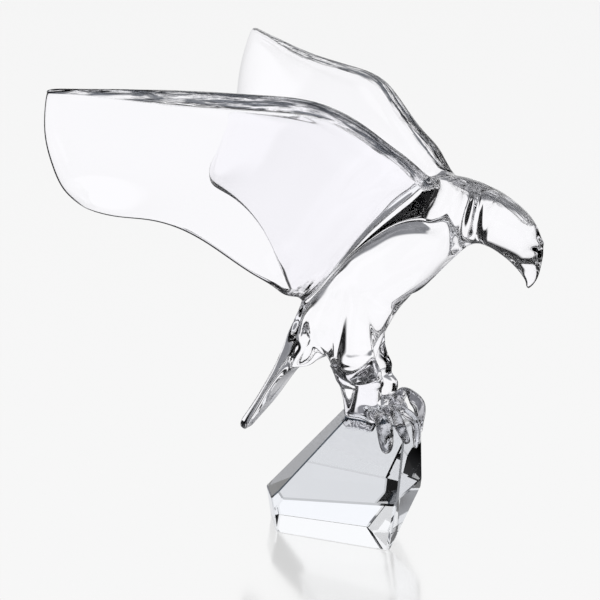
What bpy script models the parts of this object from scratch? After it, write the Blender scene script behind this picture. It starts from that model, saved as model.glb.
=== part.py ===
"""Clear-crystal eagle with raised wings, cast in one piece, on its cut crystal block.

Sizes are real ones in millimetres until a mesh is made. The eagle faces +X, its left side
is +Y and +Z is up. The origin is on the block's underside, below its flat top. The eagle
is one coarse cage, smoothed by Subdivision Surface: rings of points down the body from the tail
to the beak, a wing grown from each side of the back, and a leg with a foot from each hip.
"""

import math

import bmesh
import bpy
import numpy as np
from mathutils import Vector

MM = 0.001
CONTACT_GAP = 0.3

# The block: a cube cut by flat facets. Each facet faces a heading round the block, leans
# up or down, and lies at a distance from a point half way up the block's middle.
BLOCK_HEIGHT = 60.0
EDGE_FLAT = 1.2
SOLE_FLAT = 0.3
FACETS = (
    ("right wall", -93.6, 0.0, 23.4),
    ("right slope", -95.6, 21.0, 18.4),
    ("tail slope", -150.9, 40.9, 21.8),
    ("tail wall", -148.6, -7.7, 41.4),
    ("tail corner", -106.4, 9.2, 26.3),
    ("front face", -1.5, 3.9, 36.8),
    ("front wall", 0.0, -10.0, 36.5),
    ("front right corner", -41.0, -8.0, 44.0),
    ("front left corner", 45.0, -1.5, 29.5),
    ("front left undercut", 27.0, -33.5, 31.6),
    ("left slope", 90.0, 22.0, 18.2),
    ("left wall", 92.0, 0.0, 23.0),
    ("left tail slope", 150.0, 36.5, 25.3),
    ("left tail wall", 170.0, -10.0, 48.6),
)

# The eagle's heights are measured with its perch this far above the ground. It rises and
# sinks with the top of the block.
PERCH_LEVEL = 60.0

# Shares of a half section: how far out a row of the cage is, and how far down
ROWS = 8
ROUND_SECTION = [(math.sin(math.pi * row / 7), (1 - math.cos(math.pi * row / 7)) / 2)
                 for row in range(ROWS)]
BLADE_SECTION = ((0, 0), (0.45, 0.0), (0.84, 0.03), (1.0, 0.28),
                 (1.0, 0.72), (0.84, 0.97), (0.45, 1.0), (0, 1))

# Sections of the tail, neck and head: back x, z, belly x, z, and half width
TAIL_SECTIONS = (
    (-59.4, 48.5, -56.2, 46.7, 4.6),
    (-55.3, 54.8, -51.4, 52.6, 7.2),
    (-48.5, 64.5, -44.1, 62.1, 10.0),
    (-41.0, 76.8, -36.2, 74.1, 12.0),
    (-33.3, 92.2, -26.2, 82.6, 12.5),
    (-29.0, 103.5, -17.4, 85.8, 12.5),
)
TAIL_TIP = (-59.3, 0.0, 45.4)
HEAD_SECTIONS = (
    (54.5, 185.6, 60.5, 150.4, 14.6),
    (62.0, 184.8, 64.6, 152.8, 12.6),
    (69.0, 183.0, 69.5, 153.4, 13.2),
    (79.3, 178.4, 75.5, 151.9, 13.6),
    (90.3, 171.0, 80.5, 149.2, 12.6),
    (97.0, 163.0, 84.5, 146.2, 10.2),
    (100.2, 154.0, 87.7, 143.0, 7.0),
    (99.8, 147.0, 90.4, 139.8, 4.6),
    (98.4, 140.5, 92.0, 137.0, 2.9),
    (96.2, 136.2, 92.4, 134.9, 1.5),
)
BEAK_TIP = (93.6, 0.0, 133.7)

# Sections of the trunk from the tail's root to the shoulder: back x, z, belly x, z, half
# width, then the wing's lower root line as depth share and half width
TRUNK_SECTIONS = (
    (-24.5, 115.5, -9.0, 88.6, 13.0, 0.12, 5.5),
    (-12.0, 129.0, 7.0, 102.4, 16.5, 0.08, 11.5),
    (0.0, 145.0, 21.0, 115.5, 18.5, 0.10, 16.5),
    (13.0, 160.0, 32.0, 124.0, 19.5, 0.16, 18.5),
    (26.0, 172.0, 41.5, 131.5, 20.0, 0.22, 19.3),
    (38.0, 180.5, 49.5, 139.7, 19.2, 0.38, 18.6),
    (47.0, 184.5, 56.0, 146.4, 17.0, 0.52, 16.6),
)
WING_INNER_SHARE = 0.40
LEG_INNER_SHARE = 0.22
SHOULDER_POINT = (51.5, 12.8, 181.0)
WING_HEEL_POINT = (-25.4, 2.6, 116.4)

# The wing's four edges, for the left wing
LEADING_EDGE = ((45.5, 13.4, 188.6), (34.2, 17.8, 197.7), (17.6, 25.3, 211.7),
                (2.5, 36.4, 222.1), (-21.0, 49.2, 226.8), (-49.4, 64.2, 229.0),
                (-83.4, 90.8, 231.8), (-106.6, 110.6, 233.4))
TRAILING_EDGE = ((-27.5, 3.4, 117.4), (-47.2, 17.5, 131.4), (-69.4, 32.3, 150.3),
                 (-87.3, 42.5, 158.8), (-103.5, 55.5, 162.6), (-111.0, 70.5, 169.4))
ROOT_EDGE = (LEADING_EDGE[0], (35.5, 17.0, 181.0), (21.5, 17.0, 170.8), (9.0, 15.0, 159.0),
             (-5.0, 11.0, 141.5), TRAILING_EDGE[0])
TIP_EDGE = (LEADING_EDGE[-1], (-110.8, 107.7, 221.8), (-111.8, 101.4, 198.7),
            (-111.6, 88.0, 180.0), TRAILING_EDGE[-1])
WING_RIBS = (0.035, 0.12, 0.22, 0.34, 0.46, 0.58, 0.70, 0.82, 0.93)
WING_CHORDS = 6
WING_CAMBER = 5.0
ROLL_RADIUS = (6.0, 5.6, 5.0, 3.9, 2.9, 2.0)
PANEL_HALF = (4.2, 2.4, 2.0, 1.9, 1.8, 1.6)
RIM = 1.6

# A thigh's rings from the hip down: centre x, y, z, half sizes along X and Y, and how
# steeply the ring rises towards its front
THIGH_RINGS = (
    (6.0, 10.2, 98.5, 13.4, 7.2, 0.72),
    (6.3, 9.8, 89.5, 13.5, 7.1, 0.22),
)
RING_TURNS = (135, 180, 225, 270, 315, 0, 45, 90)

# Each foot grips its own side of the block: how far the thigh stands forward, the rings
# from its cuff to the sole, and the toes as the corner of the foot's ring that they grow
# from, then centre x, y, z and radius down to the claw
FEET = {
    -1: (0.0, (
        (7.7, 9.0, 83.0, 13.3, 6.7, 0.0),
        (8.6, 8.2, 79.0, 12.6, 6.3, 0.0),
        (8.7, 7.5, 76.2, 11.2, 5.2, 0.0),
        (8.8, 6.8, 72.4, 10.7, 4.6, 0.0),
        (9.2, 5.8, 66.5, 10.3, 3.8, 0.0),
        (10.4, 4.8, 55.0, 9.7, 3.0, 0.0),
    ), (
        (6, ((19.2, 12.0, 65.0, 2.9), (23.8, 14.6, 61.8, 3.8), (25.6, 15.6, 57.0, 4.1),
             (27.0, 17.2, 50.4, 3.2), (27.3, 18.0, 47.6, 1.4))),
        (5, ((24.6, 8.4, 66.8, 2.0), (29.8, 11.2, 64.0, 2.5), (33.0, 13.2, 59.6, 2.6),
             (36.2, 14.6, 54.8, 2.0), (37.4, 15.0, 53.0, 1.1))),
        (4, ((24.8, 3.9, 66.6, 2.0), (31.0, 3.9, 65.4, 2.4), (36.0, 3.8, 61.6, 2.4),
             (37.2, 3.7, 55.0, 2.1), (37.0, 3.6, 48.8, 1.1))),
    )),
    1: (-3.0, (
        (6.0, 9.0, 85.2, 11.9, 6.7, 0.15),
        (8.2, 8.2, 82.0, 10.5, 6.0, 0.12),
        (9.4, 7.5, 79.0, 10.6, 5.2, 0.08),
        (11.6, 6.9, 75.6, 11.0, 4.8, 0.0),
        (11.0, 5.8, 68.0, 10.4, 4.0, 0.0),
        (10.2, 5.4, 56.0, 9.5, 4.2, 0.0),
    ), (
        (6, ((19.0, 11.6, 67.6, 2.6), (21.6, 13.6, 62.8, 3.2), (21.8, 13.6, 57.0, 3.3),
             (22.8, 14.4, 50.4, 2.8), (23.0, 14.8, 47.8, 1.3))),
        (5, ((25.2, 8.2, 71.2, 2.2), (29.2, 9.8, 69.2, 2.6), (31.8, 10.8, 64.6, 2.5),
             (32.6, 11.0, 58.6, 2.2), (33.0, 11.2, 52.6, 1.3))),
        (4, ((26.4, 3.8, 73.4, 2.2), (31.2, 4.1, 71.8, 2.8), (35.2, 4.1, 68.4, 2.8),
             (36.2, 4.0, 62.8, 2.4), (35.8, 3.8, 56.4, 1.2))),
    )),
}

SKIN_LEVELS = 1
FIT_ROUNDS = 8


def smooth_curve(points, shares):
    """Reads a natural cubic spline through the points at shares of its length."""
    points = np.array(points, float)
    steps = np.linalg.norm(np.diff(points, axis=0), axis=1)
    knots = np.concatenate(([0.0], np.cumsum(steps))) / steps.sum()
    gaps = np.diff(knots)
    slopes = np.diff(points, axis=0) / gaps[:, None]
    system = np.eye(len(points))
    bends = np.zeros_like(points)
    for i in range(1, len(points) - 1):
        system[i, i - 1:i + 2] = gaps[i - 1], 2 * (gaps[i - 1] + gaps[i]), gaps[i]
        bends[i] = 6 * (slopes[i] - slopes[i - 1])
    bends = np.linalg.solve(system, bends)
    shares = np.clip(np.atleast_1d(np.array(shares, float)), 0, 1)
    spans = np.clip(np.searchsorted(knots, shares, "right") - 1, 0, len(gaps) - 1)
    gap = gaps[spans][:, None]
    after = (shares[:, None] - knots[spans][:, None]) / gap
    before = 1 - after
    return (before * points[spans] + after * points[spans + 1]
            + ((before ** 3 - before) * bends[spans]
               + (after ** 3 - after) * bends[spans + 1]) * gap ** 2 / 6)


def sizes_along(sizes, share):
    """Reads an evenly spaced list of sizes at a share of the way along it."""
    return float(np.interp(share, np.linspace(0, 1, len(sizes)), sizes))


class Cage:
    """Points and faces of a coarse cage, whose smooth skin passes through the points."""

    def __init__(self):
        self.points = []
        self.faces = []

    def add(self, points):
        first = len(self.points)
        self.points.extend(tuple(point) for point in points)
        return list(range(first, len(self.points)))

    def bridge(self, ring, other):
        for i in range(len(ring)):
            j = (i + 1) % len(ring)
            self.faces.append((ring[i], ring[j], other[j], other[i]))

    def build(self, name):
        used = sorted({index for face in self.faces for index in face})
        place = {index: i for i, index in enumerate(used)}
        lift = Vector((0, 0, BLOCK_HEIGHT - PERCH_LEVEL))
        points = [(Vector(self.points[index]) + lift) * MM for index in used]
        mesh = bpy.data.meshes.new(name)
        mesh.from_pydata(points, [], [[place[index] for index in face] for face in self.faces])
        bm = bmesh.new()
        bm.from_mesh(mesh)
        bmesh.ops.recalc_face_normals(bm, faces=bm.faces)
        bm.to_mesh(mesh)
        bm.free()
        return mesh, points


def fit_skin(piece, wanted):
    """Moves the cage until the smooth skin runs through the wanted points."""
    for _ in range(FIT_ROUNDS):
        depsgraph = bpy.context.evaluated_depsgraph_get()
        skin = piece.evaluated_get(depsgraph).data
        misses = [point - skin.vertices[i].co for i, point in enumerate(wanted)]
        for vertex, miss in zip(piece.data.vertices, misses):
            vertex.co += miss
        piece.data.update()


def section_points(section, shape, side):
    """Half section between a back point and a belly point, one point for each row."""
    back = np.array((section[0], 0.0, section[1]))
    belly = np.array((section[2], 0.0, section[3]))
    half = np.array((0.0, side * section[4], 0.0))
    return [back + (belly - back) * down + half * out for out, down in shape]


def trunk_points(section, side):
    """Half section of the trunk: a hollow back, the wing's root, the flank and the belly."""
    back_x, back_z, belly_x, belly_z, half, root_down, root_half = section
    low = 1 - root_down
    shape = ((0, 0), (root_half * WING_INNER_SHARE / half, -0.03),
             (root_half * 0.75 / half, root_down * 0.4), (root_half / half, root_down),
             (1.0, root_down + low * 0.30), (0.80, root_down + low * 0.72),
             (LEG_INNER_SHARE, 0.985), (0, 1))
    return section_points((back_x, back_z, belly_x, belly_z, half), shape, side)


def add_body(cage):
    """Adds the rings from tail tip to beak; returns their rows for each side."""
    rings = []
    for section in TAIL_SECTIONS:
        rings.append({side: section_points(section, BLADE_SECTION, side) for side in (1, -1)})
    for section in TRUNK_SECTIONS:
        rings.append({side: trunk_points(section, side) for side in (1, -1)})
    for section in HEAD_SECTIONS:
        rings.append({side: section_points(section, ROUND_SECTION, side) for side in (1, -1)})
    heel, shoulder = len(TAIL_SECTIONS), len(TAIL_SECTIONS) + WING_CHORDS
    for side in (1, -1):
        for ring, point in ((heel, WING_HEEL_POINT), (shoulder, SHOULDER_POINT)):
            rings[ring][side][2] = (point[0], side * point[1], point[2])
    rows = []
    for ring in rings:
        left = cage.add(ring[1])
        right = [left[0]] + cage.add(ring[-1][1:-1]) + [left[-1]]
        rows.append({1: left, -1: right})
    for side in (1, -1):
        for i in range(len(rows) - 1):
            for row in range(ROWS - 1):
                in_wing = heel <= i < shoulder and row in (1, 2)
                in_leg = heel <= i < heel + 2 and row in (4, 5)
                if not (in_wing or in_leg):
                    here, there = rows[i][side], rows[i + 1][side]
                    cage.faces.append((here[row], there[row], there[row + 1], here[row + 1]))
    for end, point in ((rows[0], TAIL_TIP), (rows[-1], BEAK_TIP)):
        tip = cage.add([point])[0]
        ring = end[1] + end[-1][-2:0:-1]
        for i in range(len(ring)):
            cage.faces.append((ring[i], ring[(i + 1) % len(ring)], tip))
    return rows, heel, shoulder


def wing_sheet(span, chord):
    """Middle of the wing: the patch between its four edges, cupped towards the body."""
    span = np.asarray(span, float)
    chord = np.asarray(chord, float)
    s, t = span[:, None], chord[:, None]
    corners = [np.array(point) for point in
               (LEADING_EDGE[0], TRAILING_EDGE[0], LEADING_EDGE[-1], TRAILING_EDGE[-1])]
    return ((1 - t) * smooth_curve(LEADING_EDGE, span) + t * smooth_curve(TRAILING_EDGE, span)
            + (1 - s) * smooth_curve(ROOT_EDGE, chord) + s * smooth_curve(TIP_EDGE, chord)
            - (1 - s) * ((1 - t) * corners[0] + t * corners[1])
            - s * ((1 - t) * corners[2] + t * corners[3]))


def wing_point(span, chord, out):
    """A point of the wing's skin, the given distance out from its middle."""
    step = 0.002
    low_s, high_s = max(span - step, 0), min(span + step, 1)
    low_t, high_t = max(chord - step, 0), min(chord + step, 1)
    middle, before, after, above, below = wing_sheet(
        (span, low_s, high_s, span, span), (chord, chord, chord, low_t, high_t))
    inward = np.cross(after - before, below - above)
    inward /= np.linalg.norm(inward)
    cup = WING_CAMBER * 16 * span * (1 - span) * chord * (1 - chord)
    return middle + inward * (cup - out)


def rib_chords(span):
    """Shares of the chord for one rib: close at both rims, even over the panel."""
    ends = wing_sheet((span, span), (0, 1))
    length = np.linalg.norm(ends[1] - ends[0])
    roll = sizes_along(ROLL_RADIUS, span)
    first, second = roll / length, 2.6 * roll / length
    last, before = 1 - RIM / length, 1 - 4.0 * RIM / length
    return [first, *np.linspace(second, before, WING_CHORDS - 1), last]


def add_wing(cage, rows, heel, shoulder, side):
    """Grows one wing from the root left open in the trunk."""
    stations = range(shoulder, heel - 1, -1)
    ring = ([rows[i][side][3] for i in stations] + [rows[heel][side][2]]
            + [rows[i][side][1] for i in reversed(stations)] + [rows[shoulder][side][2]])
    span_length = np.linalg.norm(np.subtract(LEADING_EDGE[-1], LEADING_EDGE[0]))
    flip = np.array((1, side, 1))
    for span in (*WING_RIBS, 1 - RIM / span_length):
        chords = rib_chords(span)
        panel = sizes_along(PANEL_HALF, span)
        halves = [sizes_along(ROLL_RADIUS, span)] + [panel] * (WING_CHORDS - 1) + [RIM * 0.8]
        if span > WING_RIBS[-1]:
            halves = [min(half, RIM) * 0.8 for half in halves]
        outer = [wing_point(span, t, half) * flip for t, half in zip(chords, halves)]
        inner = [wing_point(span, t, -half) * flip for t, half in zip(chords, halves)]
        heel_edge, lead_edge = wing_point(span, 1, 0) * flip, wing_point(span, 0, 0) * flip
        rib = cage.add(outer + [heel_edge] + inner[::-1] + [lead_edge])
        cage.bridge(ring, rib)
        ring = rib
    edge = cage.add([wing_point(1, t, 0) * flip for t in chords])
    outer, inner = ring[:WING_CHORDS + 1], ring[-2:WING_CHORDS + 1:-1]
    for k in range(WING_CHORDS):
        cage.faces.append((outer[k], outer[k + 1], edge[k + 1], edge[k]))
        cage.faces.append((edge[k], edge[k + 1], inner[k + 1], inner[k]))
    cage.faces.append((ring[-1], outer[0], edge[0], inner[0]))
    cage.faces.append((ring[WING_CHORDS + 1], inner[-1], edge[-1], outer[-1]))


def ring_points(ring, side):
    """Eight points of a leg's ring, in the order of the hip's opening."""
    x, y, z, half_x, half_y, steepness = ring
    points = []
    for turn in RING_TURNS:
        ahead = half_x * math.cos(math.radians(turn))
        out = half_y * math.sin(math.radians(turn))
        points.append((x + ahead, side * (y + out), z + steepness * ahead))
    return points


def add_toe(cage, section, path, side):
    """Grows a toe from one face of the foot, keeping its sections from twisting."""
    corners = [Vector(cage.points[index]) for index in section]
    across = corners[0] - corners[1]
    before = sum(corners, Vector()) / 4
    centres = [Vector((x, side * y, z)) for x, y, z, _ in path]
    for i, here in enumerate(centres):
        along = centres[min(i + 1, len(centres) - 1)] - before
        across = (across - across.project(along)).normalized()
        up = across.cross(along).normalized() * side
        half = path[i][3] * math.sqrt(0.5)
        ring = cage.add([here + (across * a + up * b) * half
                         for a, b in ((1, 1), (-1, 1), (-1, -1), (1, -1))])
        cage.bridge(section, ring)
        section = ring
        before = here
    cage.faces.append(tuple(section))


def add_leg(cage, rows, heel, side):
    """Grows one leg from the hip's opening, down to the sole and out to the toes."""
    forward, shank, toes = FEET[side]
    rings = [[rows[heel][side][4], rows[heel][side][5], rows[heel][side][6],
              rows[heel + 1][side][6], rows[heel + 2][side][6], rows[heel + 2][side][5],
              rows[heel + 2][side][4], rows[heel + 1][side][4]]]
    thigh = [(ring[0] + forward, *ring[1:]) for ring in THIGH_RINGS]
    for ring in (*thigh, *shank):
        rings.append(cage.add(ring_points(ring, side)))
    sole = rings[-1]
    toe_faces = {first for first, _ in toes}
    for upper, lower in zip(rings, rings[1:]):
        for i in range(8):
            j = (i + 1) % 8
            if lower is not sole or i not in toe_faces:
                cage.faces.append((upper[i], upper[j], lower[j], lower[i]))
    middle_x, middle_y, middle_z = shank[-1][:3]
    middle = cage.add([(middle_x, side * middle_y, middle_z)])[0]
    for i in (1, 3, 5, 7):
        cage.faces.append((middle, sole[i], sole[(i + 1) % 8], sole[(i + 2) % 8]))
    for first, path in toes:
        second = (first + 1) % 8
        add_toe(cage, [rings[-2][first], rings[-2][second], sole[second], sole[first]],
                path, side)


def make_eagle(collection, glass):
    """The bird: one cage of body, wings and legs, with its smooth skin."""
    cage = Cage()
    rows, heel, shoulder = add_body(cage)
    for side in (1, -1):
        add_wing(cage, rows, heel, shoulder, side)
        add_leg(cage, rows, heel, side)
    mesh, wanted = cage.build("eagle")
    mesh.shade_smooth()
    mesh.materials.append(glass)
    eagle = bpy.data.objects.new("eagle", mesh)
    collection.objects.link(eagle)
    skin = eagle.modifiers.new("skin", "SUBSURF")
    skin.levels = skin.render_levels = SKIN_LEVELS
    fit_skin(eagle, wanted)
    return eagle


def facet_planes(grow):
    """Gives each facet's normal and a point on it, moved outwards by a small distance."""
    heart = Vector((0, 0, BLOCK_HEIGHT / 2))
    yield Vector((0, 0, 1)), heart + Vector((0, 0, BLOCK_HEIGHT / 2 + grow))
    for _, heading, lean, distance in FACETS:
        turn, rise = math.radians(heading), math.radians(lean)
        normal = Vector((math.cos(turn) * math.cos(rise), math.sin(turn) * math.cos(rise),
                         math.sin(rise)))
        yield normal, heart + normal * (distance + grow)


def cut_flat(bm, normal, point):
    """Cuts off what lies beyond a plane and closes the cut with one flat face."""
    whole = bm.verts[:] + bm.edges[:] + bm.faces[:]
    cut = bmesh.ops.bisect_plane(bm, geom=whole, dist=1e-7, plane_co=point * MM,
                                 plane_no=normal, clear_outer=True)
    rim = [item for item in cut["geom_cut"] if isinstance(item, bmesh.types.BMEdge)]
    bmesh.ops.contextual_create(bm, geom=rim)


def grind_edges(bm):
    """Cuts a narrow flat along each longer edge, square to the mean of its facets' normals."""
    bmesh.ops.recalc_face_normals(bm, faces=bm.faces)
    flats = []
    for edge in bm.edges:
        if edge.calc_length() < EDGE_FLAT * MM:
            continue
        one, other = (face.normal for face in edge.link_faces)
        middle = (one + other).normalized()
        first, second = (vert.co / MM for vert in edge.verts)
        width = SOLE_FLAT if max(first.z, second.z) < CONTACT_GAP else EDGE_FLAT
        drop = width / 2 * math.tan(one.angle(middle))
        flats.append((middle, (first + second) / 2 - middle * drop))
    for normal, point in flats:
        cut_flat(bm, normal, point)


def make_block(name, collection, grow, ground=False):
    """The block: a rough cube standing on the ground, cut by its facets."""
    rough = 4 * max(distance for *_, distance in FACETS) + BLOCK_HEIGHT
    bm = bmesh.new()
    bmesh.ops.create_cube(bm, size=rough * MM)
    bmesh.ops.translate(bm, vec=(0, 0, rough / 2 * MM), verts=bm.verts)
    for normal, point in facet_planes(grow):
        cut_flat(bm, normal, point)
    if ground:
        grind_edges(bm)
    bmesh.ops.recalc_face_normals(bm, faces=bm.faces)
    mesh = bpy.data.meshes.new(name)
    bm.to_mesh(mesh)
    bm.free()
    block = bpy.data.objects.new(name, mesh)
    collection.objects.link(block)
    return block


def make_glass(name, colour, roughness):
    """A see-through crystal finish with plain values on the shader."""
    glass = bpy.data.materials.new(name)
    glass.use_nodes = True
    shader = glass.node_tree.nodes["Principled BSDF"]
    shader.inputs["Base Color"].default_value = (*colour, 1.0)
    shader.inputs["Roughness"].default_value = roughness
    shader.inputs["Metallic"].default_value = 0.0
    shader.inputs["IOR"].default_value = 1.54
    shader.inputs["Transmission Weight"].default_value = 1.0
    return glass


def main():
    for item in list(bpy.data.objects):
        bpy.data.objects.remove(item)
    sculpture = bpy.data.collections.new("crystal_eagle")
    cutters = bpy.data.collections.new("cutters")
    for collection in (sculpture, cutters):
        bpy.context.scene.collection.children.link(collection)

    block = make_block("block", sculpture, 0.0, ground=True)
    block.data.materials.append(make_glass("crystal_block_glass", (0.95, 0.97, 1.0), 0.0))

    bed = make_block("block_clearance", cutters, CONTACT_GAP)
    bed.hide_render = True
    bed.display_type = "WIRE"

    eagle = make_eagle(sculpture, make_glass("crystal_eagle_glass", (0.97, 0.97, 1.0), 0.01))
    soles = eagle.modifiers.new("soles", "BOOLEAN")
    soles.operation = "DIFFERENCE"
    soles.solver = "EXACT"
    soles.object = bed


main()
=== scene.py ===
"""Clear crystal eagle with raised wings on a cut crystal block.

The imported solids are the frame. The eagle is one casting: a coarse cage of sections is
worked out with numpy, smoothed by Subdivision Surface, carved, and pressed on to the block.
The block is the hull left by its facets, with a narrow flat along each longer edge. Sizes
are real ones in millimetres until a mesh is made; +X is ahead, +Y the left side, +Z up.
"""

from __future__ import annotations

import itertools
import logging
import math
from dataclasses import dataclass
from enum import Enum

import bmesh
import bpy
import numpy as np
from bpy.types import Material, Mesh, Node, NodeSocket, NodeTree, Object, bpy_prop_collection
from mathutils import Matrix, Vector


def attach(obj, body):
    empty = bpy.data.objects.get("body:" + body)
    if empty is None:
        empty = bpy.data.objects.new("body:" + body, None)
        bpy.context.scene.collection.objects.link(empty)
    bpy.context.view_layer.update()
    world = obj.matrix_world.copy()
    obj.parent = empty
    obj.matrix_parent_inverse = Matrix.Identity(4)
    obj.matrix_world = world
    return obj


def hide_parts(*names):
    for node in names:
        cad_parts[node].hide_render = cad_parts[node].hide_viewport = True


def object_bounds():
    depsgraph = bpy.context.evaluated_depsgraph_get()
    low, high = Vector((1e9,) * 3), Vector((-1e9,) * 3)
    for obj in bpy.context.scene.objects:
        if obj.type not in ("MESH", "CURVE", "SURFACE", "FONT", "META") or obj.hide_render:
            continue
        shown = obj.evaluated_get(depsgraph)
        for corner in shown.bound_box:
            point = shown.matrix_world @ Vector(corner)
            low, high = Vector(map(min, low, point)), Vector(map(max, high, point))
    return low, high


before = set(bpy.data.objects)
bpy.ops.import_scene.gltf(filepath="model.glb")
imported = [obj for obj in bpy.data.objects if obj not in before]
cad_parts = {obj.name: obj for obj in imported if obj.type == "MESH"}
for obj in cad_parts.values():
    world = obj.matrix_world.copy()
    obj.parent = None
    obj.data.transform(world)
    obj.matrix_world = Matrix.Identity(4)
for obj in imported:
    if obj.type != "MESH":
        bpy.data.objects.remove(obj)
CAD_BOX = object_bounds()

LOG = logging.getLogger("crystal_eagle")
MM = 0.001
CONTACT_GAP = 0.3
PHOTO_WIDTH = 600
ROUNDING = 1e-6
ON_FACET = 1e-4
CURVE_STEPS = 40


class Side(Enum):
    """The two sides of the bird, as the sign of Y."""

    LEFT = 1
    RIGHT = -1


Point = tuple[float, float, float]
Colour = tuple[float, float, float]
Line = tuple[Point, ...]
Rows = list[dict[Side, list[int]]]
Inputs = dict[str | int, object]

# The block's facets: heading round the block, lean, distance from its heart, and how
# much painted shade greys the facet
FACETS = {
    "right wall": (-93.6, 0.0, 23.4, 0.0),
    "right slope": (-95.6, 21.0, 18.4, 0.42),
    "tail slope": (-150.9, 40.9, 21.8, 0.98),
    "tail wall": (-148.6, -7.7, 41.4, 0.25),
    "tail corner": (-106.4, 9.2, 26.3, 0.1),
    "front face": (-1.5, 3.9, 36.8, 0.2),
    "front wall": (0.0, -10.0, 36.5, 0.1),
    "front right corner": (-41.0, -8.0, 44.0, 0.2),
    "front left corner": (45.0, -1.5, 29.5, 0.1),
    "front left undercut": (27.0, -33.5, 31.6, 0.1),
    "left slope": (90.0, 22.0, 18.2, 0.12),
    "left wall": (92.0, 0.0, 23.0, 0.0),
    "left tail slope": (150.0, 36.5, 25.3, 0.5),
    "left tail wall": (170.0, -10.0, 48.6, 0.1),
}

# Shares of a half section: how far out a row of the cage is, and how far down
ROWS = 8
ROUND_SECTION = np.array([(math.sin(math.pi * row / 7), (1 - math.cos(math.pi * row / 7)) / 2)
                          for row in range(ROWS)])
BLADE_SECTION = np.array(((0, 0), (0.45, 0.0), (0.84, 0.03), (1.0, 0.28),
                          (1.0, 0.72), (0.84, 0.97), (0.45, 1.0), (0, 1)))

# Sections of the tail, neck and head: back x, z, belly x, z, and half width
TAIL_SECTIONS = (
    (-59.4, 48.5, -56.2, 46.7, 4.6),
    (-55.3, 54.8, -51.4, 52.6, 7.2),
    (-48.5, 64.5, -44.1, 62.1, 10.0),
    (-41.0, 76.8, -36.2, 74.1, 12.0),
    (-33.3, 92.2, -26.2, 82.6, 12.5),
    (-29.0, 103.5, -17.4, 85.8, 12.5),
)
TAIL_TIP = (-59.3, 0.0, 45.4)
HEAD_SECTIONS = (
    (54.5, 185.6, 60.5, 150.4, 14.6),
    (62.0, 184.8, 64.6, 152.8, 12.6),
    (69.0, 183.0, 69.5, 153.4, 13.2),
    (79.3, 178.4, 75.5, 151.9, 13.6),
    (90.3, 171.0, 80.5, 149.2, 12.6),
    (97.0, 163.0, 84.5, 146.2, 10.2),
    (100.2, 154.0, 87.7, 143.0, 7.0),
    (99.8, 147.0, 90.4, 139.8, 4.6),
    (98.4, 140.5, 92.0, 137.0, 2.9),
    (96.2, 136.2, 92.4, 134.9, 1.5),
)
BEAK_TIP = (93.6, 0.0, 133.7)

# Sections of the trunk from the tail's root to the shoulder: back x, z, belly x, z, half
# width, then the wing's lower root line as depth share and half width
TRUNK_SECTIONS = (
    (-24.5, 115.5, -9.0, 88.6, 13.0, 0.12, 5.5),
    (-12.0, 129.0, 7.0, 102.4, 16.5, 0.08, 11.5),
    (0.0, 145.0, 21.0, 115.5, 18.5, 0.10, 16.5),
    (13.0, 160.0, 32.0, 124.0, 19.5, 0.16, 18.5),
    (26.0, 172.0, 41.5, 131.5, 20.0, 0.22, 19.3),
    (38.0, 180.5, 49.5, 139.7, 19.2, 0.38, 18.6),
    (47.0, 184.5, 56.0, 146.4, 17.0, 0.52, 16.6),
)

# The channel between wing and flank, for each trunk section: how deep, and how far down
CHANNEL = ((0.8, 0.12), (3.0, 0.08), (6.5, 0.12), (8.0, 0.18), (9.0, 0.25), (9.5, 0.40),
           (7.0, 0.52))

# Where the other rows of a trunk section lie, as shares out or down, or both
WING_INNER_SHARE = 0.40
BACK_HOLLOW = -0.03
ROOT_ROW = (0.75, 0.4)
FLANK_SHARE = 0.22
LOW_FLANK = (0.86, 0.79)
LEG_ROW = (0.22, 0.985)

# The ends of the wing's root, and the place between the thighs
SHOULDER_POINT = (51.5, 12.8, 181.0)
WING_HEEL_POINT = (-25.4, 2.6, 116.4)
FORK_POINT = (10.0, 0.0, 80.0)

# The wing's four edges, for the left wing
LEADING_EDGE = ((45.5, 13.4, 188.6), (34.2, 17.8, 197.7), (17.6, 25.3, 211.7),
                (2.5, 36.4, 222.1), (-21.0, 49.2, 226.8), (-49.4, 64.2, 229.0),
                (-83.4, 90.8, 231.8), (-106.6, 110.6, 233.4))
TRAILING_EDGE = ((-27.5, 3.4, 117.4), (-47.2, 17.5, 131.4), (-69.4, 32.3, 150.3),
                 (-87.3, 42.5, 158.8), (-103.5, 55.5, 162.6), (-111.0, 70.5, 169.4))
ROOT_EDGE = (LEADING_EDGE[0], (35.5, 17.0, 181.0), (21.5, 17.0, 170.8), (9.0, 15.0, 159.0),
             (-5.0, 11.0, 141.5), TRAILING_EDGE[0])
TIP_EDGE = (LEADING_EDGE[-1], (-110.8, 107.7, 221.8), (-111.8, 101.4, 198.7),
            (-111.6, 88.0, 180.0), TRAILING_EDGE[-1])

# A thigh's rings: centre x, y, z, half sizes along X and Y, rise towards the front, and how
# much lower the inner side lies, where the thighs are one
THIGH_RINGS = (
    (6.0, 10.2, 98.5, 13.4, 7.2, 0.72, 15.5),
    (6.3, 9.8, 89.5, 13.5, 7.1, 0.22, 7.5),
)
RING_TURNS = np.radians((135, 180, 225, 270, 315, 0, 45, 90))

# How far the fork pulls down the trunk's sections above it, with each one's share
FORK_DROP = 18.5
FORK_SHARES = (1.0, 0.5)

# The hip's opening: how many sections ahead of the heel, and which row
HIP_RING = ((0, 4), (0, 5), (0, 6), (1, 6), (2, 6), (2, 5), (2, 4), (1, 4))


@dataclass(frozen=True)
class Toe:
    """A toe: the ring corner it grows from, then centre x, y, z and radius to the claw."""

    root: int
    path: tuple[tuple[float, float, float, float], ...]


@dataclass(frozen=True)
class Foot:
    """How far a thigh stands forward, the rings from cuff to sole, and the toes."""

    forward: float
    shank: tuple[tuple[float, ...], ...]
    toes: tuple[Toe, ...]


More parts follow.
